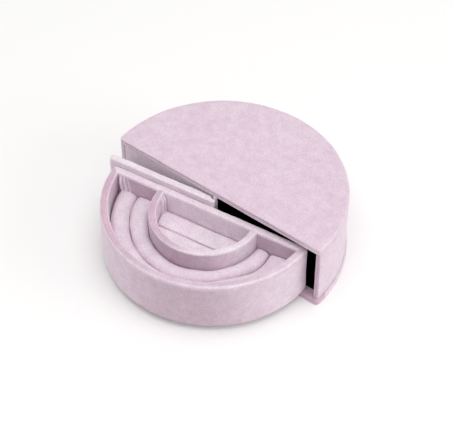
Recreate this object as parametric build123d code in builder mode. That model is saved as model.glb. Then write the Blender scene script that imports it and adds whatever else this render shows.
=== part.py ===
"""Half-moon velvet ring box with a swing-out tray.

The case is a little more than half a disc: a base board, a curved wall and a top board, all
wrapped in velvet, with black lining inside. The left half of its straight front is closed by
a fixed panel. A D-shaped tray turns about an upright pin at the middle of that front. The
closing panel on the tray's straight back fills the right half of the front when the tray is in.

Millimetres, +Z up. The origin is the centre of the round wall on the underside of the base.
The straight front faces -Y. The tray is drawn where it stands open, open_angle short of lying
flat against the front.
"""

import os
from math import cos, hypot, radians, sin, sqrt

from build123d import *

# ---- case sizes
case_radius = 62.5  # outside of the curved wall
case_height = 39.8
panel_face_y = -4.25  # outer face of the two front panels
wall_front_y = -4.4  # front ends of the curved wall
base_thickness = 3.5
base_lip = 0.75  # base beyond the curved wall
base_front_y = -5.5
top_thickness = 3.5
top_lip = 0.2
top_front_y = -4.9
top_edge_round = 0.8
base_edge_round = 0.5
plan_corner = 1.6  # corners of base and top, seen from above
velvet = 0.4  # velvet on boards
lining = 0.4  # black lining on floor and ceiling, flush with the velvet beside it
wall_lining_thickness = 0.3
wall_board_thickness = 1.6
stop_board_thickness = 2.6  # inner board, set back so that the closing panel meets it
turn_in = 6.0  # velvet folded round onto an inner face

# ---- front panels and hinge
panel_thickness = 3.0  # fixed panel
closing_thickness = 3.6  # closing panel, reaching back to the tray
panel_edge_round = 0.35
pivot_x = -0.9
pivot_proud = 0.15  # pin axis in front of the panel faces
pin_radius = 0.5
pin_running_gap = 0.06  # radial, moving hem
pin_seat_gap = 0.02  # radial, fixed hems
hem_radius = 1.15  # rolled velvet hem round the pin
hem_web = 0.8
hem_length = 8.5  # each fixed hem
hem_gap = 0.3  # between hems, along the pin
hem_clearance = 0.35  # round the hems
end_clearance = 0.3
panel_end_gap = 0.42  # closing panel to the rebate as it swings shut
swing_gap = 0.4  # moving tray and panel to base and top boards
tab_reach = 1.2  # closing panel past the pin axis, behind the fixed panel when shut
open_angle = 7.5

# ---- tray sizes, in the tray's own axes: x along its straight back, y towards the case
tray_radius = 55.9
tray_centre_x = -1.25
tray_centre_y = -0.7
tray_bottom = 4.0
tray_top = 32.8
tray_velvet = 0.6  # velvet with its thin wadding
tray_board_thickness = 3.0
tray_floor_thickness = 1.6
tray_underside = 0.4
rim_round = 1.5
tray_corner = 2.0

# ---- dish, the small fixed compartment against the straight back
dish_radius = 28.4
dish_centre_x = -0.5
dish_centre_y = -8.3
dish_velvet = 0.5
dish_board_thickness = 2.7
dish_rim_drop = 0.2  # dish rim below the tray rim
dish_rim_round = 1.3
dish_pad_top = 21.0
dish_slit_y = -18.6
slit_width = 0.5
pad_velvet = 0.5
pad_round = 1.4

# ---- ring rolls
roll_top = 22.5
groove_radius = 38.3
groove_centre_x = -2.8
groove_centre_y = -5.6
groove_width = 0.6
roll_velvet = 0.6
roll_round_share = 0.47  # rounding of a roll's edges, as a share of its least width
soft_gap = 0.25  # soft pieces to the walls beside them

BIG = 4 * case_radius


def half_disc(radius, flat, centre=(0.0, 0.0), back=1, corner=0.0):
    """D outline: the part of a circle behind (back=1) or in front of (back=-1) y = flat."""
    cx, cy = centre
    reach = sqrt(radius**2 - (flat - cy) ** 2)
    with BuildSketch() as outline:
        with BuildLine():
            ThreePointArc((cx - reach, flat), (cx, cy + back * radius), (cx + reach, flat))
            Line((cx + reach, flat), (cx - reach, flat))
        make_face()
        if corner > 0:
            fillet(outline.vertices(), corner)
    return outline.sketch


def above(part, height):
    """Edges of a part that lie level at the given height."""
    return part.edges().filter_by_position(Axis.Z, height - 0.001, height + 0.001)


# ---- levels and places that follow from the sizes
base_top = base_thickness
top_under = case_height - top_thickness
wall_velvet_inner = case_radius - velvet
rebate_board_radius = wall_velvet_inner - wall_board_thickness
rebate_radius = rebate_board_radius - velvet
stop_inner_radius = rebate_board_radius - stop_board_thickness
return_radius = stop_inner_radius - velvet
lining_radius = stop_inner_radius - wall_lining_thickness
pivot_y = panel_face_y - pivot_proud
closing_back = closing_thickness + pivot_proud  # pin axis to the back of the closing panel
panel_sweep = sqrt((rebate_radius - panel_end_gap) ** 2 - pivot_y**2) - pivot_x
panel_reach = sqrt(panel_sweep**2 - closing_back**2)  # pin axis to the outer end of the closing panel
stop_face_y = pivot_y + closing_back + end_clearance
turn_in_y = stop_face_y + turn_in
hem_keep_out = hem_radius + hem_clearance
fixed_end_x = pivot_x - hem_keep_out
closing_bottom = base_top + swing_gap
closing_top = top_under - swing_gap

tray_plane = Plane(
    origin=(pivot_x, pivot_y, 0),
    x_dir=(cos(radians(open_angle)), sin(radians(open_angle)), 0),
    z_dir=(0, 0, 1),
)
tray_centre = (tray_centre_x, tray_centre_y)
back_outer_y = -closing_back
wall_thickness = tray_board_thickness + 2 * tray_velvet
back_inner_y = back_outer_y - wall_thickness
well_radius = tray_radius - wall_thickness
tray_floor_top = tray_bottom + tray_underside + tray_floor_thickness
dish_centre = (dish_centre_x, dish_centre_y)
dish_inner_radius = dish_radius - dish_board_thickness - 2 * dish_velvet
dish_top = tray_top - dish_rim_drop
groove_centre = (groove_centre_x, groove_centre_y)

# the rolls at their narrowest, between circles that aren't quite concentric
outer_shift = hypot(tray_centre_x - groove_centre_x, tray_centre_y - groove_centre_y)
inner_shift = hypot(dish_centre_x - groove_centre_x, dish_centre_y - groove_centre_y)
outer_roll_width = well_radius - groove_radius - outer_shift - soft_gap - groove_width / 2
inner_roll_width = groove_radius - dish_radius - inner_shift - soft_gap - groove_width / 2
outer_roll_round = roll_round_share * outer_roll_width
inner_roll_round = roll_round_share * inner_roll_width

# ---- base: board, velvet round its underside and edge, black lining on its floor
base_outline = half_disc(case_radius + base_lip, base_front_y, corner=plan_corner)
base_core_outline = half_disc(
    case_radius + base_lip - velvet, base_front_y + velvet, corner=plan_corner - velvet
)
floor_outline = half_disc(return_radius, stop_face_y)

with BuildPart() as base_board:
    with BuildSketch(Plane.XY.offset(velvet)):
        add(base_core_outline)
    extrude(amount=base_thickness - velvet - lining)
base_board.part.label = "base_board"

with BuildPart() as floor_lining:
    with BuildSketch(Plane.XY.offset(base_top - lining)):
        add(floor_outline)
    extrude(amount=lining)
floor_lining.part.label = "floor_lining"

with BuildPart() as base_cover:
    with BuildSketch():
        add(base_outline)
    extrude(amount=base_thickness)
    fillet(above(base_cover, base_thickness) + above(base_cover, 0), base_edge_round)
    add(base_board.part, mode=Mode.SUBTRACT)
    add(floor_lining.part, mode=Mode.SUBTRACT)
base_cover.part.label = "base_cover"

# ---- curved wall: outer board, set-back stop board, velvet over both front ends, lining
wall_height = top_under - base_top
wall_plane = Plane.XY.offset(base_top)

with BuildPart() as wall_board:
    with BuildSketch(wall_plane):
        add(half_disc(wall_velvet_inner, wall_front_y + velvet))
        add(half_disc(rebate_board_radius, wall_front_y + velvet), mode=Mode.SUBTRACT)
    extrude(amount=wall_height)
wall_board.part.label = "wall_board"

with BuildPart() as stop_board:
    with BuildSketch(wall_plane):
        add(half_disc(rebate_board_radius, stop_face_y + velvet))
        add(half_disc(stop_inner_radius, stop_face_y + velvet), mode=Mode.SUBTRACT)
    extrude(amount=wall_height)
stop_board.part.label = "stop_board"

with BuildPart() as wall_lining:
    with BuildSketch(wall_plane):
        add(half_disc(stop_inner_radius, turn_in_y))
        add(half_disc(lining_radius, turn_in_y), mode=Mode.SUBTRACT)
    extrude(amount=wall_height)
wall_lining.part.label = "wall_lining"

with BuildPart() as wall_cover:
    with BuildSketch(wall_plane):
        add(half_disc(case_radius, wall_front_y))
        add(half_disc(wall_velvet_inner, wall_front_y + velvet), mode=Mode.SUBTRACT)
        # velvet folded into the rebate that takes the ends of the front panels
        add(half_disc(rebate_board_radius, wall_front_y))
        add(half_disc(rebate_radius, stop_face_y, back=-1), mode=Mode.SUBTRACT)
        # and over the set-back stop board, a short way inside
        add(half_disc(rebate_board_radius, stop_face_y + velvet), mode=Mode.SUBTRACT)
        add(half_disc(stop_inner_radius, stop_face_y))
        add(half_disc(return_radius, stop_face_y), mode=Mode.SUBTRACT)
        add(half_disc(stop_inner_radius, turn_in_y), mode=Mode.SUBTRACT)
    extrude(amount=wall_height)
wall_cover.part.label = "wall_cover"

# ---- fixed front panel, closing the left half, with its two rolled hems for the pin
with BuildPart() as front_panel_board:
    with BuildSketch(wall_plane):
        Circle(rebate_radius - velvet)
        with Locations((fixed_end_x - velvet, panel_face_y + velvet)):
            Rectangle(
                BIG, panel_thickness - 2 * velvet, align=(Align.MAX, Align.MIN), mode=Mode.INTERSECT
            )
    extrude(amount=wall_height - velvet)
front_panel_board.part.label = "front_panel_board"

with BuildPart() as front_panel_cover:
    with BuildSketch(wall_plane):
        Circle(rebate_radius)
        with Locations((fixed_end_x, panel_face_y)):
            Rectangle(BIG, panel_thickness, align=(Align.MAX, Align.MIN), mode=Mode.INTERSECT)
    extrude(amount=wall_height)
    add(front_panel_board.part, mode=Mode.SUBTRACT)
    for hem_foot in (base_top, top_under - hem_length):
        with BuildSketch(Plane.XY.offset(hem_foot)):
            with Locations((pivot_x, pivot_y)):
                Circle(hem_radius)
            with Locations((pivot_x, pivot_y + hem_radius)):
                Rectangle(pivot_x - fixed_end_x + velvet / 2, hem_web, align=(Align.MAX, Align.MAX))
        extrude(amount=hem_length)
    with BuildSketch(wall_plane):
        with Locations((pivot_x, pivot_y)):
            Circle(pin_radius + pin_seat_gap)
    extrude(amount=wall_height, mode=Mode.SUBTRACT)
front_panel_cover.part.label = "front_panel_cover"

with BuildPart() as hinge_pin:
    with BuildSketch(wall_plane):
        with Locations((pivot_x, pivot_y)):
            Circle(pin_radius)
    extrude(amount=wall_height)
hinge_pin.part.label = "hinge_pin"

# ---- top: board, velvet round it, black lining on the ceiling
top_outline = half_disc(case_radius + top_lip, top_front_y, corner=plan_corner)
top_core_outline = half_disc(
    case_radius + top_lip - velvet, top_front_y + velvet, corner=plan_corner - velvet
)

with BuildPart() as top_board:
    with BuildSketch(Plane.XY.offset(top_under + lining)):
        add(top_core_outline)
    extrude(amount=top_thickness - velvet - lining)
top_board.part.label = "top_board"

with BuildPart() as ceiling_lining:
    with BuildSketch(Plane.XY.offset(top_under)):
        add(floor_outline)
    extrude(amount=lining)
ceiling_lining.part.label = "ceiling_lining"

with BuildPart() as top_cover:
    with BuildSketch(Plane.XY.offset(top_under)):
        add(top_outline)
    extrude(amount=top_thickness)
    fillet(above(top_cover, case_height), top_edge_round)
    fillet(above(top_cover, top_under), base_edge_round)
    add(top_board.part, mode=Mode.SUBTRACT)
    add(ceiling_lining.part, mode=Mode.SUBTRACT)
top_cover.part.label = "top_cover"

# ---- closing panel on the tray: board, velvet and the moving hem
hem_foot = base_top + hem_length + hem_gap
hem_head = top_under - hem_length - hem_gap


def closing_outline(inset):
    """Closing panel from above, with a step in its inner end that clears the hems."""
    outer, face, back = -panel_reach + inset, -pivot_proud - inset, back_outer_y + inset
    with BuildSketch() as outline:
        with BuildLine():
            Polyline(
                (outer, face),
                (-hem_keep_out - inset, face),
                (-hem_keep_out - inset, -hem_keep_out - inset),
                (tab_reach - inset, -hem_keep_out - inset),
                (tab_reach - inset, back),
                (outer, back),
                close=True,
            )
        make_face()
    return outline.sketch


with BuildPart() as closing_panel_board:
    with BuildSketch(tray_plane.offset(closing_bottom)):
        add(closing_outline(velvet))
    extrude(amount=closing_top - closing_bottom - velvet)
closing_panel_board.part.label = "closing_panel_board"

with BuildPart() as closing_panel_cover:
    with BuildSketch(tray_plane.offset(closing_bottom)):
        add(closing_outline(0))
    extrude(amount=closing_top - closing_bottom)
    fillet(above(closing_panel_cover, closing_top), panel_edge_round)
    add(closing_panel_board.part, mode=Mode.SUBTRACT)
    with BuildSketch(tray_plane.offset(hem_foot)):
        Circle(hem_radius)
        with Locations((0, -hem_radius)):
            Rectangle(hem_keep_out + velvet / 2, hem_web, align=(Align.MAX, Align.MIN))
    extrude(amount=hem_head - hem_foot)
    with BuildSketch(tray_plane.offset(closing_bottom)):
        Circle(pin_radius + pin_running_gap)
    extrude(amount=closing_top - closing_bottom, mode=Mode.SUBTRACT)
closing_panel_cover.part.label = "closing_panel_cover"

# ---- tray: floor, curved wall board, straight back board, velvet over the walls
tray_outline = half_disc(tray_radius, back_outer_y, tray_centre, -1, tray_corner)
tray_core_outline = half_disc(
    tray_radius - tray_velvet, back_outer_y - tray_velvet, tray_centre, -1, tray_corner - tray_velvet
)
board_inner_outline = half_disc(well_radius + tray_velvet, back_inner_y + tray_velvet, tray_centre, -1)
well_outline = half_disc(well_radius, back_inner_y, tray_centre, -1)

with BuildPart() as tray_base_cover:
    with BuildSketch(tray_plane.offset(tray_bottom)):
        add(tray_core_outline)
    extrude(amount=tray_underside)
tray_base_cover.part.label = "tray_base_cover"

with BuildPart() as tray_floor_board:
    with BuildSketch(tray_plane.offset(tray_bottom + tray_underside)):
        add(board_inner_outline)
    extrude(amount=tray_floor_thickness)
tray_floor_board.part.label = "tray_floor_board"

tray_board_bottom = tray_bottom + tray_underside
tray_board_height = tray_top - tray_velvet - tray_board_bottom

with BuildPart() as tray_wall_board:
    with BuildSketch(tray_plane.offset(tray_board_bottom)):
        add(tray_core_outline)
        add(half_disc(well_radius + tray_velvet, 0, tray_centre, -1), mode=Mode.SUBTRACT)
    extrude(amount=tray_board_height)
tray_wall_board.part.label = "tray_wall_board"

with BuildPart() as tray_back_board:
    with BuildSketch(tray_plane.offset(tray_board_bottom)):
        add(half_disc(well_radius + tray_velvet, back_outer_y - tray_velvet, tray_centre, -1))
        add(board_inner_outline, mode=Mode.SUBTRACT)
    extrude(amount=tray_board_height)
tray_back_board.part.label = "tray_back_board"

with BuildPart() as tray_wall_cover:
    with BuildSketch(tray_plane.offset(tray_bottom)):
        add(tray_outline)
    extrude(amount=tray_top - tray_bottom)
    with BuildSketch(tray_plane.offset(tray_bottom)):
        add(well_outline)
    extrude(amount=tray_top - tray_bottom, mode=Mode.SUBTRACT)
    fillet(above(tray_wall_cover, tray_top), rim_round)
    add(tray_wall_board.part, mode=Mode.SUBTRACT)
    add(tray_back_board.part, mode=Mode.SUBTRACT)
    add(tray_base_cover.part, mode=Mode.SUBTRACT)
    add(tray_floor_board.part, mode=Mode.SUBTRACT)
tray_wall_cover.part.label = "tray_wall_cover"

# ---- dish wall against the straight back
with BuildPart() as dish_board:
    with BuildSketch(tray_plane.offset(tray_floor_top)):
        add(half_disc(dish_radius - dish_velvet, back_inner_y, dish_centre, -1))
        add(half_disc(dish_inner_radius + dish_velvet, back_inner_y, dish_centre, -1), mode=Mode.SUBTRACT)
    extrude(amount=dish_top - dish_velvet - tray_floor_top)
dish_board.part.label = "dish_board"

with BuildPart() as dish_cover:
    with BuildSketch(tray_plane.offset(tray_floor_top)):
        add(half_disc(dish_radius, back_inner_y, dish_centre, -1))
        add(half_disc(dish_inner_radius, back_inner_y, dish_centre, -1), mode=Mode.SUBTRACT)
    extrude(amount=dish_top - tray_floor_top)
    fillet(above(dish_cover, dish_top).filter_by(GeomType.CIRCLE), dish_rim_round)
    add(dish_board.part, mode=Mode.SUBTRACT)
dish_cover.part.label = "dish_cover"


# ---- soft pieces: a foam core with velvet drawn over its top and sides, open underneath
def dish_pad_outline(front, inset):
    """One of the two dish pads, which meet at the slit."""
    gap = soft_gap + inset
    with BuildSketch() as outline:
        if front:
            add(half_disc(dish_inner_radius - gap, dish_slit_y - slit_width / 2 - inset, dish_centre, -1))
        else:
            add(half_disc(dish_inner_radius - gap, back_inner_y - gap, dish_centre, -1))
            with Locations((0, dish_slit_y + slit_width / 2 + inset)):
                Rectangle(BIG, BIG, align=(Align.CENTER, Align.MAX), mode=Mode.SUBTRACT)
    return outline.sketch


def roll_outline(outer, inset):
    """One of the two ring rolls, which meet at the groove."""
    gap = soft_gap + inset
    half_groove = groove_width / 2 + inset
    with BuildSketch() as outline:
        if outer:
            add(half_disc(well_radius - gap, back_inner_y - gap, tray_centre, -1))
            with Locations(groove_centre):
                Circle(groove_radius + half_groove, mode=Mode.SUBTRACT)
        else:
            add(half_disc(groove_radius - half_groove, back_inner_y - gap, groove_centre, -1))
            with Locations(dish_centre):
                Circle(dish_radius + gap, mode=Mode.SUBTRACT)
    return outline.sketch


with BuildPart() as dish_rear_foam:
    with BuildSketch(tray_plane.offset(tray_floor_top)):
        add(dish_pad_outline(False, pad_velvet))
    extrude(amount=dish_pad_top - pad_velvet - tray_floor_top)
    fillet(above(dish_rear_foam, dish_pad_top - pad_velvet), pad_round - pad_velvet)
dish_rear_foam.part.label = "dish_rear_foam"

with BuildPart() as dish_rear_cover:
    with BuildSketch(tray_plane.offset(tray_floor_top)):
        add(dish_pad_outline(False, 0))
    extrude(amount=dish_pad_top - tray_floor_top)
    fillet(above(dish_rear_cover, dish_pad_top), pad_round)
    add(dish_rear_foam.part, mode=Mode.SUBTRACT)
dish_rear_cover.part.label = "dish_rear_cover"

with BuildPart() as dish_front_foam:
    with BuildSketch(tray_plane.offset(tray_floor_top)):
        add(dish_pad_outline(True, pad_velvet))
    extrude(amount=dish_pad_top - pad_velvet - tray_floor_top)
    fillet(above(dish_front_foam, dish_pad_top - pad_velvet), pad_round - pad_velvet)
dish_front_foam.part.label = "dish_front_foam"

with BuildPart() as dish_front_cover:
    with BuildSketch(tray_plane.offset(tray_floor_top)):
        add(dish_pad_outline(True, 0))
    extrude(amount=dish_pad_top - tray_floor_top)
    fillet(above(dish_front_cover, dish_pad_top), pad_round)
    add(dish_front_foam.part, mode=Mode.SUBTRACT)
dish_front_cover.part.label = "dish_front_cover"

with BuildPart() as outer_roll_foam:
    with BuildSketch(tray_plane.offset(tray_floor_top)):
        add(roll_outline(True, roll_velvet))
    extrude(amount=roll_top - roll_velvet - tray_floor_top)
    fillet(above(outer_roll_foam, roll_top - roll_velvet), outer_roll_round - roll_velvet)
outer_roll_foam.part.label = "outer_roll_foam"

with BuildPart() as outer_roll_cover:
    with BuildSketch(tray_plane.offset(tray_floor_top)):
        add(roll_outline(True, 0))
    extrude(amount=roll_top - tray_floor_top)
    fillet(above(outer_roll_cover, roll_top), outer_roll_round)
    add(outer_roll_foam.part, mode=Mode.SUBTRACT)
outer_roll_cover.part.label = "outer_roll_cover"

with BuildPart() as inner_roll_foam:
    with BuildSketch(tray_plane.offset(tray_floor_top)):
        add(roll_outline(False, roll_velvet))
    extrude(amount=roll_top - roll_velvet - tray_floor_top)
    fillet(above(inner_roll_foam, roll_top - roll_velvet), inner_roll_round - roll_velvet)
inner_roll_foam.part.label = "inner_roll_foam"

with BuildPart() as inner_roll_cover:
    with BuildSketch(tray_plane.offset(tray_floor_top)):
        add(roll_outline(False, 0))
    extrude(amount=roll_top - tray_floor_top)
    fillet(above(inner_roll_cover, roll_top), inner_roll_round)
    add(inner_roll_foam.part, mode=Mode.SUBTRACT)
inner_roll_cover.part.label = "inner_roll_cover"

# ---- clearance of the swing, worked out in plan
tray_sweep = tray_radius + hypot(tray_centre_x, tray_centre_y)
print("tray sweep to the wall's inner velvet:", round(return_radius - (tray_sweep + pivot_x), 2))
print("closing panel reach:", round(panel_reach, 2))

os.makedirs("parts", exist_ok=True)
export_step(base_board.part, "parts/base_board.step")
export_step(base_cover.part, "parts/base_cover.step")
export_step(floor_lining.part, "parts/floor_lining.step")
export_step(wall_board.part, "parts/wall_board.step")
export_step(stop_board.part, "parts/stop_board.step")
export_step(wall_cover.part, "parts/wall_cover.step")
export_step(wall_lining.part, "parts/wall_lining.step")
export_step(front_panel_board.part, "parts/front_panel_board.step")
export_step(front_panel_cover.part, "parts/front_panel_cover.step")
export_step(hinge_pin.part, "parts/hinge_pin.step")
export_step(top_board.part, "parts/top_board.step")
export_step(top_cover.part, "parts/top_cover.step")
export_step(ceiling_lining.part, "parts/ceiling_lining.step")
export_step(closing_panel_board.part, "parts/closing_panel_board.step")
export_step(closing_panel_cover.part, "parts/closing_panel_cover.step")
export_step(tray_base_cover.part, "parts/tray_base_cover.step")
export_step(tray_floor_board.part, "parts/tray_floor_board.step")
export_step(tray_wall_board.part, "parts/tray_wall_board.step")
export_step(tray_back_board.part, "parts/tray_back_board.step")
export_step(tray_wall_cover.part, "parts/tray_wall_cover.step")
export_step(dish_board.part, "parts/dish_board.step")
export_step(dish_cover.part, "parts/dish_cover.step")
export_step(dish_rear_foam.part, "parts/dish_rear_foam.step")
export_step(dish_rear_cover.part, "parts/dish_rear_cover.step")
export_step(dish_front_foam.part, "parts/dish_front_foam.step")
export_step(dish_front_cover.part, "parts/dish_front_cover.step")
export_step(outer_roll_foam.part, "parts/outer_roll_foam.step")
export_step(outer_roll_cover.part, "parts/outer_roll_cover.step")
export_step(inner_roll_foam.part, "parts/inner_roll_foam.step")
export_step(inner_roll_cover.part, "parts/inner_roll_cover.step")
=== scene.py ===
"""Looks of the half-moon velvet ring box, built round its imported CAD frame.

Shapes are worked out in millimetres and written in metres. Tray pieces are laid out in the
tray's own axes (x along its straight back, y towards the case) and turned into place.
"""

from math import asin, atan2, cos, exp, pi, radians, sin, sqrt

import bmesh
import bpy
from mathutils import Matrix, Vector, noise


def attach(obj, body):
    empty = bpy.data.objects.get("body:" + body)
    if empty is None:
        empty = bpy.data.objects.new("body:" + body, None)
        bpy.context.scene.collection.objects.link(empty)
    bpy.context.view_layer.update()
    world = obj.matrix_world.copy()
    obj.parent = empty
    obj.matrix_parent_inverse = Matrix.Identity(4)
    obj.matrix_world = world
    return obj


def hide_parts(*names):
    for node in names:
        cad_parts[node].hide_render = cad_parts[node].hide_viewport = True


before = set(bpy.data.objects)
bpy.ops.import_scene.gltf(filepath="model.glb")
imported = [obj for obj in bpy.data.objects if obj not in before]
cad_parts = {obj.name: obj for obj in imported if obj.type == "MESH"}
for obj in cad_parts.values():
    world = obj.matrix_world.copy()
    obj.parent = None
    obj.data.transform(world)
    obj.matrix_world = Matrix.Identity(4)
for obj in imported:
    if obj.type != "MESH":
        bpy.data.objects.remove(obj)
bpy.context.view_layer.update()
MM = 0.001

# ---- sizes of the CAD that the looks follow, in millimetres
PIVOT = (-0.9, -4.4)
OPEN_ANGLE = radians(7.5)
CASE_RADIUS = 62.5
BASE_TOP, TOP_UNDER, CASE_TOP = 3.5, 36.3, 39.8
BASE_RADIUS, BASE_FRONT = 63.25, -5.5
TOP_RADIUS, TOP_FRONT = 62.7, -4.9
WALL_FRONT, STOP_FRONT, TURN_IN = -4.4, -0.35, 5.65
REBATE_RADIUS, RETURN_RADIUS, LINING_RADIUS = 60.1, 57.5, 57.6
PANEL_START, PANEL_END, PANEL_FACE, PANEL_BACK = -59.95, -2.4, -4.25, -1.25
HEM_RADIUS = 1.15
CLOSING_START, CLOSING_END, CLOSING_FACE = -60.3, 1.2, -0.15
CLOSING_FOOT, CLOSING_HEAD = 3.9, 35.9
TRAY_RADIUS, TRAY_CENTRE = 55.9, (-1.25, -0.7)
TRAY_WALL, TRAY_BACK = 4.2, -3.75
TRAY_BOTTOM, TRAY_FLOOR, TRAY_TOP = 4.0, 6.0, 32.8
WELL_RADIUS, WELL_BACK = TRAY_RADIUS - TRAY_WALL, TRAY_BACK - TRAY_WALL
DISH_RADIUS, DISH_CENTRE, DISH_WALL = 28.4, (-0.5, -8.3), 3.7
DISH_INNER, DISH_TOP = DISH_RADIUS - DISH_WALL, TRAY_TOP - 0.2
GROOVE_RADIUS, GROOVE_CENTRE = 38.3, (-2.8, -5.6)
ROLL_TOP, PAD_TOP, SLIT_Y = 22.5, 21.0, -18.6
SOFT_GAP = 0.25

# ---- how finely the forms are divided
ARC_STEPS, RUN_STEPS, TURN_STEPS = 220, 50, 8
FINE_STEP, FINE_STEPS = 0.3, 26
WALL_STEPS, RETURN_STEPS, LINING_STEPS = 200, 180, 120
RIM_STEPS, DISH_STEPS, ROLL_STEPS, HEM_SIDES = 7, 200, 190, 28
WELD = 0.004
CAP_SHARES = [0.985, 0.96, 0.92, 0.87, 0.81, 0.74, 0.66, 0.57, 0.47, 0.36, 0.24, 0.12, 0.03]

# ---- a value per point for how the nap lies and for painted light and shade: 0 the darkest, 1 the lightest
# rounded edges get a painted highlight, the tray's well painted shade
EVEN_PILE, PAINTED_EDGE_HIGHLIGHT, PAINTED_WELL_SHADE = 0.5, 0.62, 0.42


def bump(s, place, width):
    """1 at the place, falling smoothly to 0 within about two widths."""
    return exp(-(((s - place) / width) ** 2))


def unit(value):
    return max(0.0, min(1.0, value))


# ---- materials
LILAC = (0.78, 0.63, 0.725)


def set_inputs(made, **inputs):
    for name, value in inputs.items():
        made.inputs[name.replace("_", " ")].default_value = value
    return made


def fine_noise(tree, size_mm, detail=2.0, rough=0.5):
    """Noise whose features are about size_mm wide on the object."""
    coords = tree.nodes.new("ShaderNodeTexCoord")
    made = tree.nodes.new("ShaderNodeTexNoise")
    set_inputs(made, Scale=1000.0 / size_mm, Detail=detail, Roughness=rough)
    tree.links.new(coords.outputs["Object"], made.inputs["Vector"])
    return made.outputs["Fac"]


def ramp(tree, fac, *stops):
    """Colours between (place, colour) stops."""
    made = tree.nodes.new("ShaderNodeValToRGB")
    elements = made.color_ramp.elements
    elements[0].position, elements[0].color = stops[0][0], (*stops[0][1], 1)
    elements[1].position, elements[1].color = stops[-1][0], (*stops[-1][1], 1)
    for place, colour in stops[1:-1]:
        elements.new(place).color = (*colour, 1)
    tree.links.new(fac, made.inputs["Fac"])
    return made.outputs["Color"]


def mixed(tree, mode, amount, a, b):
    """b laid over a in the given mode."""
    made = tree.nodes.new("ShaderNodeMix")
    made.data_type, made.blend_type = "RGBA", mode
    made.inputs[0].default_value = amount
    tree.links.new(a, made.inputs[6])
    tree.links.new(b, made.inputs[7])
    return made.outputs[2]


def bumped(tree, shader, heights):
    """Bumps laid on one another, each (height socket, depth in mm, strength)."""
    normal = None
    for height, depth, strength in heights:
        made = set_inputs(tree.nodes.new("ShaderNodeBump"), Strength=strength, Distance=depth * MM)
        tree.links.new(height, made.inputs["Height"])
        if normal is not None:
            tree.links.new(normal, made.inputs["Normal"])
        normal = made.outputs["Normal"]
    tree.links.new(normal, shader.inputs["Normal"])


def start_material(name):
    made = bpy.data.materials.new(name)
    made.use_nodes = True
    return made, made.node_tree, made.node_tree.nodes["Principled BSDF"]


def velvet_material():
    """Short lilac velvet: patches brushed one way or the other, a grain, streaks, a soft sheen, and painted
    light and shade from a value at each point.
    """
    made, tree, shader = start_material("lilac_velvet")
    brushed = ramp(
        tree,
        fine_noise(tree, 22, 4.0, 0.6),
        (0.30, (0.73, 0.575, 0.675)),
        (0.50, LILAC),
        (0.72, (0.83, 0.69, 0.775)),
    )
    pile_and_light = tree.nodes.new("ShaderNodeAttribute")
    pile_and_light.attribute_name = "pile_and_light"
    # nap laid the dark way and painted shade at the low end, painted light and highlights near white at the
    # top
    nap_and_light_colour = ramp(
        tree,
        pile_and_light.outputs["Fac"],
        (0.0, (0.64, 0.38, 0.49)),
        (0.25, (0.53, 0.405, 0.47)),
        (0.5, LILAC),
        (1.0, (0.97, 0.92, 0.95)),
    )
    colour = mixed(tree, "MIX", 0.62, brushed, nap_and_light_colour)
    grain = fine_noise(tree, 0.75, 2.0, 0.75)
    grain = ramp(tree, grain, (0.34, (0.76, 0.73, 0.76)), (0.66, (1.04, 1.05, 1.04)))
    colour = mixed(tree, "MULTIPLY", 0.6, colour, grain)
    streaks = fine_noise(tree, 5.0, 3.0, 0.65)
    streaks = ramp(tree, streaks, (0.35, (0.88, 0.85, 0.88)), (0.65, (1.02, 1.03, 1.02)))
    colour = mixed(tree, "MULTIPLY", 0.7, colour, streaks)
    tree.links.new(colour, shader.inputs["Base Color"])
    set_inputs(shader, Roughness=0.95, Specular_IOR_Level=0.1)
    set_inputs(shader, Sheen_Weight=0.55, Sheen_Roughness=0.45, Sheen_Tint=(0.98, 0.90, 0.97, 1))
    nap, fibres = fine_noise(tree, 3.5, 3.0, 0.6), fine_noise(tree, 0.4, 2.0, 0.6)
    bumped(tree, shader, [(nap, 0.25, 0.35), (fibres, 0.10, 0.5)])
    return made


def plain_material(name, grain, dark, light, bump_layer, **inputs):
    """A ground of two colours. grain is fine_noise's arguments, dark and light are ramp stops, and
    bump_layer is (fine_noise's arguments, depth in mm, strength)."""
    made, tree, shader = start_material(name)
    colour = ramp(tree, fine_noise(tree, *grain), dark, light)
    tree.links.new(colour, shader.inputs["Base Color"])
    set_inputs(shader, **inputs)
    bumps, depth, strength = bump_layer
    bumped(tree, shader, [(fine_noise(tree, *bumps), depth, strength)])
    return made


VELVET = velvet_material()
LINING = plain_material(
    "black_flock", (0.5, 2.0), (0.35, (0.0015, 0.0015, 0.0018)), (0.7, (0.006, 0.006, 0.007)),
    ((0.4, 2.0), 0.10, 0.5), Roughness=1.0, Specular_IOR_Level=0.02,
)
BOARD = plain_material(
    "raw_fibreboard", (1.2, 4.0, 0.7), (0.35, (0.34, 0.26, 0.18)), (0.7, (0.50, 0.41, 0.30)),
    ((0.6, 3.0), 0.08, 0.4), Roughness=0.85,
)
STEEL = plain_material(
    "drawn_steel", (0.8, 3.0), (0.3, (0.50, 0.50, 0.52)), (0.7, (0.66, 0.66, 0.68)),
    ((0.3, 2.0), 0.02, 0.3), Metallic=1.0, Roughness=0.35,
)


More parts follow.
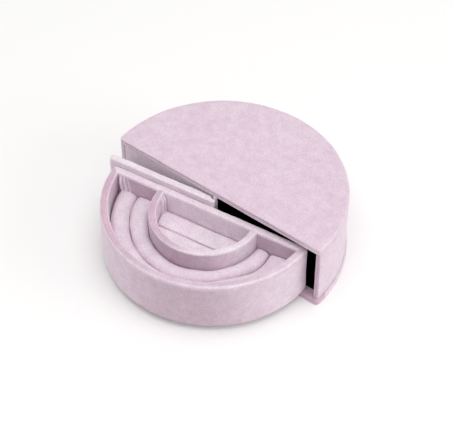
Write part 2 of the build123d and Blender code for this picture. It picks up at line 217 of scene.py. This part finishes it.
# ---- mesh helpers
class Form:
    """A mesh in the making: points in millimetres, faces, and a value at each point for how the nap lies and
    for painted light and shade.
    """

    def __init__(self):
        self.points, self.faces, self.pile_and_light = [], [], []

    def ring(self, points, pile_and_light=EVEN_PILE):
        """Adds a ring of points, with one pile for all of them or a list of one for each."""
        first = len(self.points)
        self.points += points
        self.pile_and_light += pile_and_light if isinstance(pile_and_light, list) else [pile_and_light] * len(points)
        return list(range(first, first + len(points)))

    def join(self, rings):
        for a, b in zip(rings, rings[1:]):
            for i in range(len(a)):
                j = (i + 1) % len(a)
                self.faces.append((a[i], a[j], b[j], b[i]))

    def close(self, rings):
        """Joins the rings and caps the first and the last."""
        self.faces.append(tuple(rings[0]))
        self.faces.append(tuple(rings[-1]))
        self.join(rings)


def to_tray(point):
    """From the tray's own axes to the case's."""
    x, y, z = point
    c, s = cos(OPEN_ANGLE), sin(OPEN_ANGLE)
    return (PIVOT[0] + x * c - y * s, PIVOT[1] + x * s + y * c, z)


def make(form, name, body, material, nodes=(), ruffles=()):
    """Turns a form into a piece that rides on a body and stands for CAD nodes.
    ruffles are (size, depth) pairs of soft unevenness, in millimetres."""
    points = [to_tray(p) for p in form.points] if body == "tray" else form.points
    mesh = bpy.data.meshes.new(name)
    mesh.from_pydata([Vector(p) for p in points], [], form.faces)
    pile_and_light = mesh.attributes.new("pile_and_light", "FLOAT", "POINT")
    pile_and_light.data.foreach_set("value", form.pile_and_light)
    work = bmesh.new()
    work.from_mesh(mesh)
    bmesh.ops.remove_doubles(work, verts=work.verts, dist=WELD)
    bmesh.ops.recalc_face_normals(work, faces=work.faces)
    work.normal_update()
    moves = []
    for v in work.verts:
        shift = 0.0
        for k, (size, depth) in enumerate(ruffles):
            # each layer reads its own part of the noise
            shift += depth * noise.noise(v.co / size + Vector((17.0 * k, 3.0, 5.0)))
        moves.append(v.normal * shift)
    for v, move in zip(work.verts, moves):
        v.co = (v.co + move) * MM
    work.to_mesh(mesh)
    work.free()
    for face in mesh.polygons:
        face.use_smooth = True
    mesh.materials.append(material)
    piece = bpy.data.objects.new(name, mesh)
    bpy.context.scene.collection.objects.link(piece)
    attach(piece, body)
    if nodes:
        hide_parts(*nodes)
    return piece


def spaced(run):
    """Places along a run, close together near both ends."""
    near = FINE_STEP * FINE_STEPS
    places = [FINE_STEP * i for i in range(FINE_STEPS)]
    places += [near + (run - 2 * near) * i / RUN_STEPS for i in range(RUN_STEPS)]
    return places + [run - near + FINE_STEP * i for i in range(FINE_STEPS + 1)]


def d_loop(radius, flat, corner, centre=(0.0, 0.0), back=1):
    """A D outline. The function it returns gives the outline moved inwards, always with as many points."""
    cx, cy = centre

    def at(inset):
        big, line, small = radius - inset, flat + back * inset, max(corner - inset, 0.2)
        fy = line + back * small
        fx = sqrt((big - small) ** 2 - (fy - cy) ** 2)
        end = atan2(fy - cy, fx)
        start = -back * pi / 2
        turn = [start + (end - start) * i / TURN_STEPS for i in range(1, TURN_STEPS)]
        points = [(cx - fx + s, line) for s in spaced(2 * fx)]
        points += [(cx + fx + small * cos(a), fy + small * sin(a)) for a in turn]
        arc = [end + (back * pi - 2 * end) * i / ARC_STEPS for i in range(ARC_STEPS + 1)]
        points += [(cx + big * cos(a), cy + big * sin(a)) for a in arc]
        points += [(cx - fx - small * cos(a), fy + small * sin(a)) for a in reversed(turn)]
        return points

    return at


def level(points, z):
    return [(x, y, z) for x, y in points]


def shrunk(points, centre, share):
    cx, cy = centre
    return [(cx + (x - cx) * share, cy + (y - cy) * share) for x, y in points]


def edge_profile(z_low, z_high, low_round, high_round, steps=5, step_z=2.5):
    """(inset, z) pairs up a rounded edge, from under it to over it."""
    turns = [pi / 2 * i / steps for i in range(steps + 1)]
    straight = z_high - high_round - z_low - low_round
    mids = max(1, int(straight / step_z))
    places = [(low_round * (1 - sin(a)), z_low + low_round * (1 - cos(a))) for a in turns]
    places += [(0.0, z_low + low_round + straight * i / mids) for i in range(1, mids)]
    return places + [(high_round * (1 - cos(a)), z_high - high_round * (1 - sin(a))) for a in turns]


def slab(loop, places, centre, crown=0.0, crease=0.0):
    """A flat form with a rounded edge. places are (inset, z) pairs up its edge, crown lifts its middle,
    and crease is how deep the velvet dips where the wall stands on it."""
    form = Form()
    low_inset, low_z = places[0]
    top_inset, top_z = places[-1]
    low, high = loop(low_inset), loop(top_inset)
    rings = [form.ring(level(shrunk(low, centre, s), low_z)) for s in reversed(CAP_SHARES)]
    for inset, z in places:
        # a painted highlight on the rounded edge
        pile_and_light = PAINTED_EDGE_HIGHLIGHT if 0.0 < inset < top_inset else EVEN_PILE
        rings.append(form.ring(level(loop(inset), z), pile_and_light))
    for step in range(1, 7) if crease else ():
        high = loop(top_inset + 0.16 * step)
        rings.append(form.ring(level(high, top_z - crease * bump(step, 3.0, 1.1))))
    for s in CAP_SHARES:
        rise = crown * min(1.0, (1 - s) * 8) * (1 - (1 - s) * 0.3)
        rings.append(form.ring(level(shrunk(high, centre, s), top_z + rise)))
    form.close(rings)
    return form


def rounded_polygon(corners, steps=5):
    """Closed outline through (x, y, radius) corners. A corner of radius 0 stays a point."""
    points = []
    for i, (x, y, r) in enumerate(corners):
        if r <= 0:
            points.append((x, y))
            continue
        p = Vector((x, y))
        before = (Vector(corners[i - 1][:2]) - p).normalized()
        after = (Vector(corners[(i + 1) % len(corners)][:2]) - p).normalized()
        half = before.angle(after) / 2
        cut = r / sin(half) * cos(half)
        middle = p + (before + after).normalized() * (r / sin(half))
        a, b = p + before * cut - middle, p + after * cut - middle
        for k in range(steps + 1):
            q = (a.lerp(b, k / steps)).normalized() * r + middle
            points.append((q.x, q.y))
    return points


def rounded_rectangle(x0, x1, y0, y1, r):
    return rounded_polygon([(x0, y0, r), (x1, y0, r), (x1, y1, r), (x0, y1, r)])


def divided(points, longest):
    """The same outline with no run longer than longest."""
    result = []
    for i, (x, y) in enumerate(points):
        nx, ny = points[(i + 1) % len(points)]
        parts = max(1, int(sqrt((nx - x) ** 2 + (ny - y) ** 2) / longest + 0.999))
        result += [(x + (nx - x) * k / parts, y + (ny - y) * k / parts) for k in range(parts)]
    return result


def inset_loop(points):
    """An outline as a function of how far it is moved inwards."""
    following = points[1:] + points[:1]
    area = sum(a[0] * b[1] - b[0] * a[1] for a, b in zip(points, following))
    side = 1 if area > 0 else -1
    normals = []
    for i, after in enumerate(following):
        along = Vector(after) - Vector(points[i - 1])
        normals.append(Vector((-along.y, along.x)).normalized() * side)
    return lambda inset: [(p[0] + m.x * inset, p[1] + m.y * inset) for p, m in zip(points, normals)]


def upright(outline, places):
    """A wall of any outline from above, between flat foot and flat head."""
    form = Form()
    loop = inset_loop(outline)
    form.close([form.ring(level(loop(inset), z)) for inset, z in places])
    return form


def board_form(x0, x1, y0, y1, places, plan_round):
    """A thin upright panel wrapped in velvet, closed over its top and foot along its middle line."""
    form = Form()
    loop = inset_loop(divided(rounded_rectangle(x0, x1, y0, y1, plan_round), 1.2))
    middle = (y0 + y1) / 2
    # a painted highlight on the rounded edges
    rings = [form.ring(level(loop(inset), z), PAINTED_EDGE_HIGHLIGHT if inset > 0 else EVEN_PILE) for inset, z in places]

    def cover(inset, z):
        return [
            form.ring([(x, middle + (y - middle) * share, z) for x, y in loop(inset)], 0.55)
            for share in (0.6, 0.25, 0.02)
        ]

    foot, head = cover(*places[0]), cover(*places[-1])
    form.close(foot[::-1] + rings + head)
    return form


# ---- case: base, wall, top and fixed panel in velvet, black inside
CASE_MIDDLE = (0, 22)

base_places = edge_profile(0.0, BASE_TOP, 0.5, 0.55)
base_form = slab(d_loop(BASE_RADIUS, BASE_FRONT, 1.6), base_places, CASE_MIDDLE, crease=0.45)
# the strip in front of the wall is painted darker and pinker, standing in for how the velvet's sheen falls
# along that lip; the rest of the base is painted paler
base_form.pile_and_light = [0.12 if y < 1 else 0.7 for x, y, z in base_form.points]
make(base_form, "base_velvet", "case", VELVET, ["base_cover"], [(14, 0.12), (4, 0.05)])

top_places = edge_profile(TOP_UNDER, CASE_TOP, 0.25, 0.9, steps=6, step_z=0.25)
top_form = slab(d_loop(TOP_RADIUS, TOP_FRONT, 1.8), top_places, CASE_MIDDLE, crown=0.15)
for index, (x, y, z) in enumerate(top_form.points):
    # the cloth's turned edge shows as a crease that comes and goes along the front
    if y < TOP_FRONT + 0.3 and TOP_UNDER + 0.3 < z < CASE_TOP - 0.4:
        turned_edge = bump(z, 38.4 + 0.2 * sin(x / 3.7), 0.27)
        depth = 0.15 + 0.65 * bump(x, -49, 13) + 0.6 * bump(x, -16, 7) + 0.6 * bump(x, 30, 16)
        top_form.points[index] = (x, y + depth * turned_edge, z)
        # the crease is also painted darker: painted shade in it
        top_form.pile_and_light[index] = EVEN_PILE * (1 - turned_edge * min(1.0, 2.5 * depth))
make(top_form, "top_velvet", "case", VELVET, ["top_cover"], [(20, 0.16), (6, 0.05)])


def wall_outline():
    """The curved wall from above, with the rebate and the set-back stop at both front ends."""

    def end(radius, y):
        return sqrt(radius**2 - y**2)

    def arc(radius, y, steps):
        first = asin(y / radius)
        angles = [first + (pi - 2 * first) * i / steps for i in range(1, steps)]
        return [(radius * cos(a), radius * sin(a), 0) for a in angles]

    right = [
        (end(RETURN_RADIUS, STOP_FRONT), STOP_FRONT, 0.5),
        (end(REBATE_RADIUS, STOP_FRONT), STOP_FRONT, 0.15),
        (end(REBATE_RADIUS, WALL_FRONT), WALL_FRONT, 0.4),
        (end(CASE_RADIUS, WALL_FRONT), WALL_FRONT, 0.6),
    ]
    # the left end is crisper than the right one, apart from its outer corner
    left = [(-x, y, r if r > 0.5 else 0.2) for x, y, r in reversed(right)]
    corners = right + arc(CASE_RADIUS, WALL_FRONT, WALL_STEPS) + left
    corners += reversed(arc(RETURN_RADIUS, STOP_FRONT, RETURN_STEPS))
    return divided(rounded_polygon(corners, 4), 2.0)


wall_form = upright(wall_outline(), edge_profile(BASE_TOP, TOP_UNDER, 0.1, 0.1, steps=3))
# the right front end is painted darker, painted shade on that end face; the rest of the wall is a little
# paler
wall_form.pile_and_light = [0.18 if y < WALL_FRONT + 0.45 and x > 0 else 0.6 for x, y, z in wall_form.points]
make(
    wall_form, "wall_velvet", "case", VELVET,
    ["wall_cover", "wall_board", "stop_board"], [(16, 0.16), (5, 0.06)],
)


def lining_strip():
    """The black lining from above, a thin curved strip on the wall's inner face."""
    first = asin((TURN_IN - 1.0) / LINING_RADIUS)
    angles = [first + (pi - 2 * first) * i / LINING_STEPS for i in range(LINING_STEPS + 1)]
    outer, inner = RETURN_RADIUS + 0.1, RETURN_RADIUS - 0.25
    strip = [(outer * cos(a), outer * sin(a)) for a in angles]
    return strip + [(inner * cos(a), inner * sin(a)) for a in reversed(angles)]


lining_low, lining_high = BASE_TOP + 0.02, TOP_UNDER - 0.02
lining_places = [(0.0, lining_low + (lining_high - lining_low) * i / 8) for i in range(9)]
make(
    upright(lining_strip(), lining_places),
    "wall_flock", "case", LINING, ["wall_lining"], [(6, 0.05)],
)
for lining_name, cad_name, low_z in (
    ("floor_flock", "floor_lining", BASE_TOP - 0.3),
    ("ceiling_flock", "ceiling_lining", TOP_UNDER - 0.1),
):
    thin = [(0.0, low_z), (0.0, low_z + 0.2), (0.0, low_z + 0.4)]
    sheet_form = slab(d_loop(RETURN_RADIUS - 0.05, STOP_FRONT, 0.3), thin, CASE_MIDDLE)
    make(sheet_form, lining_name, "case", LINING, [cad_name], [(8, 0.05)])

panel_places = edge_profile(BASE_TOP, TOP_UNDER, 0.15, 0.15, steps=3)
panel_form = board_form(PANEL_START, PANEL_END, PANEL_FACE, PANEL_BACK, panel_places, 0.4)
# its face is painted lighter: painted light where it sits in shade under the top's overhang
panel_form.pile_and_light = [
    1.0 if y < PANEL_FACE + 1 else pile_and_light for (x, y, z), pile_and_light in zip(panel_form.points, panel_form.pile_and_light)
]
make(
    panel_form, "front_panel_velvet", "case", VELVET,
    ["front_panel_cover"], [(10, 0.18), (3.5, 0.08)],
)

# ---- hinge: rolled velvet hems round the pin
HEM_EDGE, HEM_CORNER = 0.35, 0.2
WEB_END, WEB_THICKNESS = -1.9, 0.75


def hem(name, z_low, z_high, body):
    """A rolled hem round the pin, and its web to the panel beside it."""
    form = Form()
    places = edge_profile(z_low, z_high, HEM_EDGE, HEM_EDGE, steps=3, step_z=0.8)
    turns = [2 * pi * i / HEM_SIDES for i in range(HEM_SIDES)]
    roll = []
    for inset, z in places:
        radius = HEM_RADIUS - inset
        # painted near white: painted light on a hem that sits in shade by the hinge
        roll.append(form.ring([(radius * cos(a), radius * sin(a), z) for a in turns], 1.0))
    form.close(roll)
    # the web meets the roll's side that faces the panel
    side = 1 if body == "case" else -1
    outside = side * (HEM_RADIUS - 0.02)
    low_y, high_y = sorted((outside, outside - side * WEB_THICKNESS))
    loop = inset_loop(divided(rounded_rectangle(WEB_END, 0, low_y, high_y, HEM_CORNER), 0.5))
    # the web is painted near white as well: painted light
    form.close([form.ring(level(loop(inset * 0.35), z), 1.0) for inset, z in places])
    if body == "case":
        form.points = [(x + PIVOT[0], y + PIVOT[1], z) for x, y, z in form.points]
    make(form, name, body, VELVET, ruffles=[(1.6, 0.16), (0.7, 0.06)])


hem("fixed_hem_low", 3.55, 11.95, "case")
hem("fixed_hem_high", 27.85, 36.25, "case")
hem("moving_hem", 12.3, 27.5, "tray")


# ---- tray: closing panel, walls, underside
def closing_form():
    """The panel on the tray's back, its velvet wrinkled towards the hinge."""
    places = edge_profile(CLOSING_FOOT, CLOSING_HEAD, 0.3, 0.75)
    form = board_form(CLOSING_START, CLOSING_END, TRAY_BACK, CLOSING_FACE, places, 1.1)
    thickness, hem_room = CLOSING_FACE - TRAY_BACK, HEM_RADIUS + 0.3
    points = []
    for x, y, z in form.points:
        if x > -hem_room:
            # the inner end is thinner so that it clears the hems
            y = TRAY_BACK + (y - TRAY_BACK) * (-hem_room - TRAY_BACK) / thickness
        wrinkled = bump(x, -1.0, 7.0)
        if z > 30:
            z -= 0.35 * wrinkled * (0.5 + 0.5 * sin(2.6 * x))
        if y < -2:
            y += 0.28 * wrinkled * sin(2.2 * x + 0.35 * z)
        points.append((x, y, z))
    form.points = points
    # a painted highlight along the top edge and painted light over the rest of the panel
    form.pile_and_light = [0.95 if z > 35.2 else 0.7 for x, y, z in points]
    return form


make(
    closing_form(), "closing_panel_velvet", "tray", VELVET,
    ["closing_panel_cover", "closing_panel_board"], [(9, 0.20), (2.8, 0.10)],
)


def over_rim(wall, rim, top, outer_shine, inner_shine):
    """(inset, z, pile) places over the rounded rim of a wall, from its outer face to its inner one."""
    turns = [pi / 2 * i / RIM_STEPS for i in range(1, RIM_STEPS + 1)]
    # the shine terms lighten the middle of the rounding: a painted highlight
    outer = [(rim * (1 - cos(a)), top - rim * (1 - sin(a)), 0.5 + outer_shine * sin(2 * a)) for a in turns]
    inner = [(rim * (1 - cos(a)), top - rim * (1 - sin(a)), 0.5 + inner_shine * sin(2 * a)) for a in turns]
    return outer + [(wall - inset, z, pile_and_light) for inset, z, pile_and_light in reversed(inner)]


def tray_wall_form():
    """The tray's velvet wall, a closed band: up the outside, over the rim and down the inside."""
    form = Form()
    loop = d_loop(TRAY_RADIUS, TRAY_BACK, 2.0, TRAY_CENTRE, back=-1)
    foot, rim = 0.35, 1.3
    low, high = TRAY_BOTTOM + foot, TRAY_TOP - rim
    section = [(foot * (1 - i / 3) ** 2, TRAY_BOTTOM + foot * i / 3, EVEN_PILE) for i in range(4)]
    section += [(0.0, low + (high - low) * i / 12, EVEN_PILE) for i in range(1, 13)]
    section += over_rim(TRAY_WALL, rim, TRAY_TOP, 0.30, 0.18)
    # the inner face is painted shade
    section += [(TRAY_WALL, high - (high - TRAY_FLOOR + 0.3) * i / 15, PAINTED_WELL_SHADE) for i in range(16)]
    rings = []
    for inset, z, pile_and_light in section:
        points, pile_and_light_values = [], []
        outline = loop(inset)
        left = outline[0][0]
        deep = unit((TRAY_TOP - 1.2 - z) / 2.5) if inset > TRAY_WALL - 0.9 else 0.0
        on_rim = unit((z - (TRAY_TOP - 1.2)) / 0.8) if 0.5 < inset < TRAY_WALL - 0.5 else 0.0
        for x, y in outline:
            angle = atan2(y - TRAY_CENTRE[1], x - TRAY_CENTRE[0])
            along, nap, turned = x - left, pile_and_light, 0.0
            flat_side = y > TRAY_BACK - inset - 0.6
            if deep > 0 and flat_side:
                # velvet tucked into the left inner corner hangs in folds that lean away from it
                lean = (TRAY_TOP - z) * 0.20
                fold = 2.4 * bump(along, 0.9 + lean, 0.6) + 1.7 * bump(along, 3.0 + lean, 0.6)
                fold += 0.8 * bump(along, 5.0 + lean, 0.5)
                y -= deep * fold
                # painted light on the straight inner wall within the dish, painted shade in the bays beside
                # it, and a painted highlight on the folds' crests
                nap = 0.95 if abs(x - DISH_CENTRE[0]) < DISH_INNER + 1 else 0.28
                nap += 0.7 * min(1.0, fold)
            elif deep > 0:
                # the curved inner face is painted shade, deepest near the left corner
                nap = 0.45 - 0.40 * bump(angle, -3.0, 0.35)
            if flat_side and on_rim > 0:
                # the rim's top along the straight side is painted lighter: painted light
                nap += 0.3
            if not flat_side:
                # the nap lies the dark way along the left part of the rim
                turned = bump(angle, -2.5, 0.68) + 0.35 * bump(angle, -0.9, 0.3)
            if inset < 0.5 and z < TRAY_TOP - 1.5:
                # the outer face is painted darker in its middle and lighter towards its sides: painted shade
                # and painted sheen
                nap += 0.12 - 0.40 * bump(angle, -1.25, 0.6) + 0.15 * bump(angle, -0.3, 0.3)
            points.append((x, y, z))
            pile_and_light_values.append(unit(nap - 0.6 * turned * on_rim))
        rings.append(form.ring(points, pile_and_light_values))
    form.join(rings + rings[:1])
    return form


make(
    tray_wall_form(), "tray_velvet", "tray", VELVET,
    ["tray_wall_cover", "tray_wall_board", "tray_back_board"], [(17, 0.22), (5, 0.10), (2, 0.03)],
)

under_edge = 0.7
under_loop = d_loop(TRAY_RADIUS - under_edge, TRAY_BACK - under_edge, 1.4, TRAY_CENTRE, back=-1)
under_places = [(0.0, TRAY_BOTTOM + rise) for rise in (0.02, 0.2, 0.38)]
make(
    slab(under_loop, under_places, (0, -28)),
    "tray_underside_velvet", "tray", VELVET, ["tray_base_cover"], [(9, 0.04)],
)


def dish_wall_form():
    """The dish's velvet wall, a half ring whose ends run into the tray's straight wall."""
    form = Form()
    cx, cy = DISH_CENTRE
    rim, into_wall = 1.15, 1.6
    high = DISH_TOP - rim
    # both faces, down inside the tray's well, are painted shade
    section = [(0.0, TRAY_FLOOR + (high - TRAY_FLOOR) * i / 13, PAINTED_WELL_SHADE) for i in range(14)]
    section += over_rim(DISH_WALL, rim, DISH_TOP, 0.36, 0.25)
    section += [(DISH_WALL, high - (high - TRAY_FLOOR) * i / 13, PAINTED_WELL_SHADE) for i in range(14)]
    columns = []
    for k in range(DISH_STEPS + 1):
        v = 0.5 - 0.5 * cos(pi * k / DISH_STEPS)
        points, pile_and_light_values = [], []
        for inset, z, pile_and_light in section:
            radius, nap = DISH_RADIUS - inset, pile_and_light
            end = asin((WELL_BACK + into_wall - cy) / radius)
            a = pi - end + (pi + 2 * end) * v
            x, y = cx + radius * cos(a), cy + radius * sin(a)
            along = max(0.0, WELL_BACK - y)
            lift = 0.2 * max(0.0, 1 - along / 3.0) if z > high else 0.0
            if inset > DISH_WALL - 0.9 and z < DISH_TOP - 0.9 and x < cx:
                # folds in the left inner corner
                deep = min(1.0, (DISH_TOP - 0.9 - z) / 2.0)
                fold = 2.0 * bump(along, 1.0, 0.5) + 1.5 * bump(along, 2.9, 0.55)
                x += deep * fold
                # a painted highlight on the folds' crests and painted shade between them
                nap += 0.55 * min(1.0, fold) - 0.2 * bump(along, 1.95, 0.3)
            if inset < 0.3:
                # painted light on the right part of the outer face, where it catches the light, and painted
                # shade on the rest
                nap += 0.7 * bump(a, 2 * pi - 0.3, 0.55) - 0.16
            on_rim = unit((z - (DISH_TOP - 1.1)) / 0.8) if 0.5 < inset < DISH_WALL - 0.5 else 0.0
            # the nap lies the dark way along the left part of the rim; the right part carries a painted
            # highlight
            turned = bump(a, pi + 0.75, 0.75) - 0.7 * bump(a, 2 * pi - 0.75, 0.5)
            points.append((x, y, z + lift))
            pile_and_light_values.append(unit(nap - 0.65 * turned * on_rim))
        columns.append(form.ring(points, pile_and_light_values))
    form.close(columns)
    return form


make(
    dish_wall_form(), "dish_velvet", "tray", VELVET,
    ["dish_cover", "dish_board"], [(14, 0.18), (4.5, 0.10), (2, 0.03)],
)

# ---- ring rolls
ROLL_FLAT = WELL_BACK - SOFT_GAP
ROLL_END_ROUND, ROLL_CROWN = 1.3, 0.8
ROLL_SHOULDER, ROLL_SHOULDER_DROP = 2.8, 1.7


def groove_wander(from_right):
    """How far the groove leaves its circle, by the angle from its right end."""
    return (
        1.2 * bump(from_right, 1.31, 0.61)
        + 2.0 * bump(from_right, 0.37, 0.24)
        - 0.7 * bump(from_right, 2.53, 0.52)
    )


def roll_form(outer, inner, pull=0.0):
    """A crowned roll between two arcs, its ends against the tray's straight wall.
    outer and inner are (centre, radius, wander), where wander is 1 for the groove's own path and 0
    for a true arc. pull draws the outer edge in near the left end."""
    form = Form()
    outer_radius = outer[1]
    columns = []

    def on(circle, v):
        (x, y), r, wander = circle
        end = asin((ROLL_FLAT - y) / r)
        a = pi - end + (pi + 2 * end) * v
        r += wander * groove_wander(2 * pi - a)
        return Vector((x + r * cos(a), y + r * sin(a)))

    for k in range(ROLL_STEPS + 1):
        v = 0.5 - 0.5 * cos(pi * k / ROLL_STEPS)
        a, b = on(outer, v), on(inner, v)
        width = (b - a).length
        along = (b - a) / width
        drawn_in = pull * exp(-((v * pi * outer_radius / 20.0) ** 2))
        a, width = a + along * drawn_in, width - drawn_in
        from_end = max(0.0, ROLL_FLAT - (a.y + b.y) / 2)
        drop = 0.0
        if from_end < ROLL_END_ROUND:
            drop = ROLL_END_ROUND - sqrt(ROLL_END_ROUND**2 - (ROLL_END_ROUND - from_end) ** 2)
        high, deep = ROLL_TOP - drop * 0.7, ROLL_SHOULDER_DROP
        side = min(0.4 * width, ROLL_SHOULDER)
        # half a section as (across, z, pile): up the side, round the shoulder and over to the middle
        # the sides down into the grooves are painted shade, lighter up the shoulder, and the top painted
        # light
        half = [(0.0, TRAY_FLOOR + (high - deep - TRAY_FLOOR) * i / 5, 0.40) for i in range(5)]
        for t in [pi / 2 * i / 10 for i in range(10)]:
            half.append((side * (1 - cos(t)), high - deep * (1 - sin(t)), 0.42 + 0.38 * sin(t)))
        half += [(side + (width / 2 - side) * i / 3, high, 0.82) for i in range(3)]
        section = half + [(width / 2, high, 0.82)]
        section += [(width - u, z, pile_and_light) for u, z, pile_and_light in reversed(half)]
        points = []
        for u, z, pile_and_light in section:
            if z > TRAY_FLOOR + 1:
                z += ROLL_CROWN * (1 - (2 * u / width - 1) ** 2)
            points.append((a.x + along.x * u, a.y + along.y * u, z))
        columns.append(form.ring(points, [pile_and_light for u, z, pile_and_light in section]))
    form.close(columns)
    return form


groove_outside = (GROOVE_CENTRE, GROOVE_RADIUS + 0.05, 1)
groove_inside = (GROOVE_CENTRE, GROOVE_RADIUS - 0.05, 1)
outer_roll = make(
    roll_form((TRAY_CENTRE, WELL_RADIUS - SOFT_GAP, 0), groove_outside, pull=1.4),
    "outer_ring_roll", "tray", VELVET,
    ["outer_roll_foam", "outer_roll_cover"], [(11, 0.45), (4, 0.14)],
)
inner_roll = make(
    roll_form(groove_inside, (DISH_CENTRE, DISH_RADIUS + SOFT_GAP, 0)),
    "inner_ring_roll", "tray", VELVET,
    ["inner_roll_foam", "inner_roll_cover"], [(10, 0.40), (4, 0.14)],
)

# ---- dish pads
PAD_RADIUS = DISH_INNER - SOFT_GAP
PAD_CORNER, PAD_ROUND, PAD_FOOT, PAD_CROWN = 1.2, 0.6, 0.1, 0.5
PAD_SLIT = 0.05


def pad_form(outline, top, centre):
    """A crowned pad. Its top is drawn towards a line along it, so that the mesh stays even: centre is
    the line's middle x, its y and half its length."""
    form = Form()
    line_x, line_y, half_length = centre
    loop = inset_loop(outline)
    under = [shrunk(loop(PAD_FOOT), (line_x, line_y), share) for share in (0.03, 0.5)]
    rings = [form.ring(level(points, TRAY_FLOOR)) for points in under]
    # the sides are painted shade
    for inset, z in edge_profile(TRAY_FLOOR, top, PAD_FOOT, PAD_ROUND, steps=6):
        rings.append(form.ring(level(loop(inset), z), 0.46))
    edge = loop(PAD_ROUND)
    for s in CAP_SHARES:
        ring = []
        for x, y in edge:
            near_x = line_x + max(-half_length, min(half_length, x - line_x))
            ring.append((near_x + (x - near_x) * s, line_y + (y - line_y) * s, top + PAD_CROWN * (1 - s**2)))
        # and the top painted near white: painted light
        rings.append(form.ring(ring, 0.97))
    form.close(rings)
    return form


def cornered(corners, rounded):
    """The outline with the corners of the given numbers rounded."""
    for i in rounded:
        corners[i] = (*corners[i][:2], PAD_CORNER)
    return divided(rounded_polygon(corners, 4), 0.9)


def rear_pad_outline():
    y0, y1 = SLIT_Y + PAD_SLIT, WELL_BACK - SOFT_GAP
    right = []
    for y in [y0 + (y1 - y0) * i / 4 for i in range(5)]:
        right.append((DISH_CENTRE[0] + sqrt(PAD_RADIUS**2 - (y - DISH_CENTRE[1]) ** 2), y, 0))
    left = [(2 * DISH_CENTRE[0] - x, y, 0) for x, y, _ in reversed(right)]
    return cornered(right + left, (0, 4, 5, 9))


def front_pad_outline():
    end = asin((SLIT_Y - PAD_SLIT - DISH_CENTRE[1]) / PAD_RADIUS)
    # no points close to the corners, which are rounded
    angles = [-pi - end + (pi + 2 * end) * i / 60 for i in (0, *range(3, 58), 60)]
    cx, cy = DISH_CENTRE
    return cornered([(cx + PAD_RADIUS * cos(a), cy + PAD_RADIUS * sin(a), 0) for a in angles], (0, -1))


for pad_name, outline, top, pad_line in (
    ("rear", rear_pad_outline(), PAD_TOP - 0.2, (DISH_CENTRE[0], -13.3, 17.0)),
    ("front", front_pad_outline(), PAD_TOP - 0.35, (DISH_CENTRE[0], -23.0, 12.0)),
):
    pad = make(
        pad_form(outline, top, pad_line),
        f"dish_{pad_name}_pad", "tray", VELVET,
        [f"dish_{pad_name}_foam", f"dish_{pad_name}_cover"], [(9, 0.25), (3, 0.06)],
    )

# ---- CAD pieces that stay as they are
for cad_name, cad_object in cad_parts.items():
    if not cad_object.hide_render:
        cad_object.data.materials.clear()
        cad_object.data.materials.append(STEEL if cad_name == "hinge_pin" else BOARD)

# ---- stage
FLOOR_REACH, FLOOR_GLOW = 6.0, 0.06

floor_mesh = bpy.data.meshes.new("floor")
floor_corners = [(-1, -1), (1, -1), (1, 1), (-1, 1)]
floor_mesh.from_pydata([(x * FLOOR_REACH, y * FLOOR_REACH, 0) for x, y in floor_corners], [], [(0, 1, 2, 3)])
floor = bpy.data.objects.new("floor", floor_mesh)
bpy.context.scene.collection.objects.link(floor)
floor_material, floor_tree, floor_shader = start_material("pale_floor")
set_inputs(floor_shader, Base_Color=(0.90, 0.895, 0.885, 1), Roughness=0.9, Specular_IOR_Level=0.1)
# a faint glow that only the camera sees brings the floor near white
glow = floor_tree.nodes.new("ShaderNodeEmission")
light_path = floor_tree.nodes.new("ShaderNodeLightPath")
seen = floor_tree.nodes.new("ShaderNodeMath")
seen.operation = "MULTIPLY"
seen.inputs[1].default_value = FLOOR_GLOW
floor_tree.links.new(light_path.outputs["Is Camera Ray"], seen.inputs[0])
floor_tree.links.new(seen.outputs[0], glow.inputs["Strength"])
both = floor_tree.nodes.new("ShaderNodeAddShader")
floor_tree.links.new(floor_shader.outputs[0], both.inputs[0])
floor_tree.links.new(glow.outputs[0], both.inputs[1])
floor_tree.links.new(both.outputs[0], floor_tree.nodes["Material Output"].inputs["Surface"])
floor_mesh.materials.append(floor_material)

# ---- light
WORLD_STRENGTH = 0.62
LIT_POINT = (0, 0, 0.02)

world = bpy.data.worlds.new("studio")
bpy.context.scene.world = world
world.use_nodes = True
set_inputs(world.node_tree.nodes["Background"], Color=(1.0, 1.0, 1.0, 1), Strength=WORLD_STRENGTH)


def point_at(thing, place, direction):
    thing.location = place
    thing.rotation_mode = "QUATERNION"
    thing.rotation_quaternion = direction.to_track_quat("-Z", "Y")


def lamp(name, place, size, power):
    """A rectangular lamp aimed at the box. place and size are in metres, power is in watts."""
    data = bpy.data.lights.new(name, "AREA")
    data.shape, data.size, data.size_y = "RECTANGLE", size[0], size[1]
    data.energy = power
    made = bpy.data.objects.new(name, data)
    bpy.context.scene.collection.objects.link(made)
    point_at(made, place, Vector(LIT_POINT) - Vector(place))


lamp("key_above", (0.10, -0.12, 1.0), (0.9, 0.8), 4.8)
lamp("side_right", (1.0, 0.30, 0.45), (0.6, 0.6), 3.0)

# ---- camera at the photograph's angle
AZIMUTH, ELEVATION, DISTANCE = radians(37.8437), radians(47.3579), 0.775
TARGET = Vector((0.001819, 0.000944, 0.019906))
FOCAL_PIXELS, IMAGE_PIXELS, SENSOR_WIDTH = 1544.84, 453, 36.0

camera_data = bpy.data.cameras.new("camera")
camera_data.sensor_width = SENSOR_WIDTH
camera_data.sensor_fit = "HORIZONTAL"
camera_data.lens = FOCAL_PIXELS / IMAGE_PIXELS * SENSOR_WIDTH
camera = bpy.data.objects.new("camera", camera_data)
bpy.context.scene.collection.objects.link(camera)
backwards = Vector((sin(AZIMUTH) * cos(ELEVATION), -cos(AZIMUTH) * cos(ELEVATION), sin(ELEVATION)))
point_at(camera, TARGET + backwards * DISTANCE, -backwards)
bpy.context.scene.camera = camera
bpy.context.scene.view_settings.view_transform = "Standard"
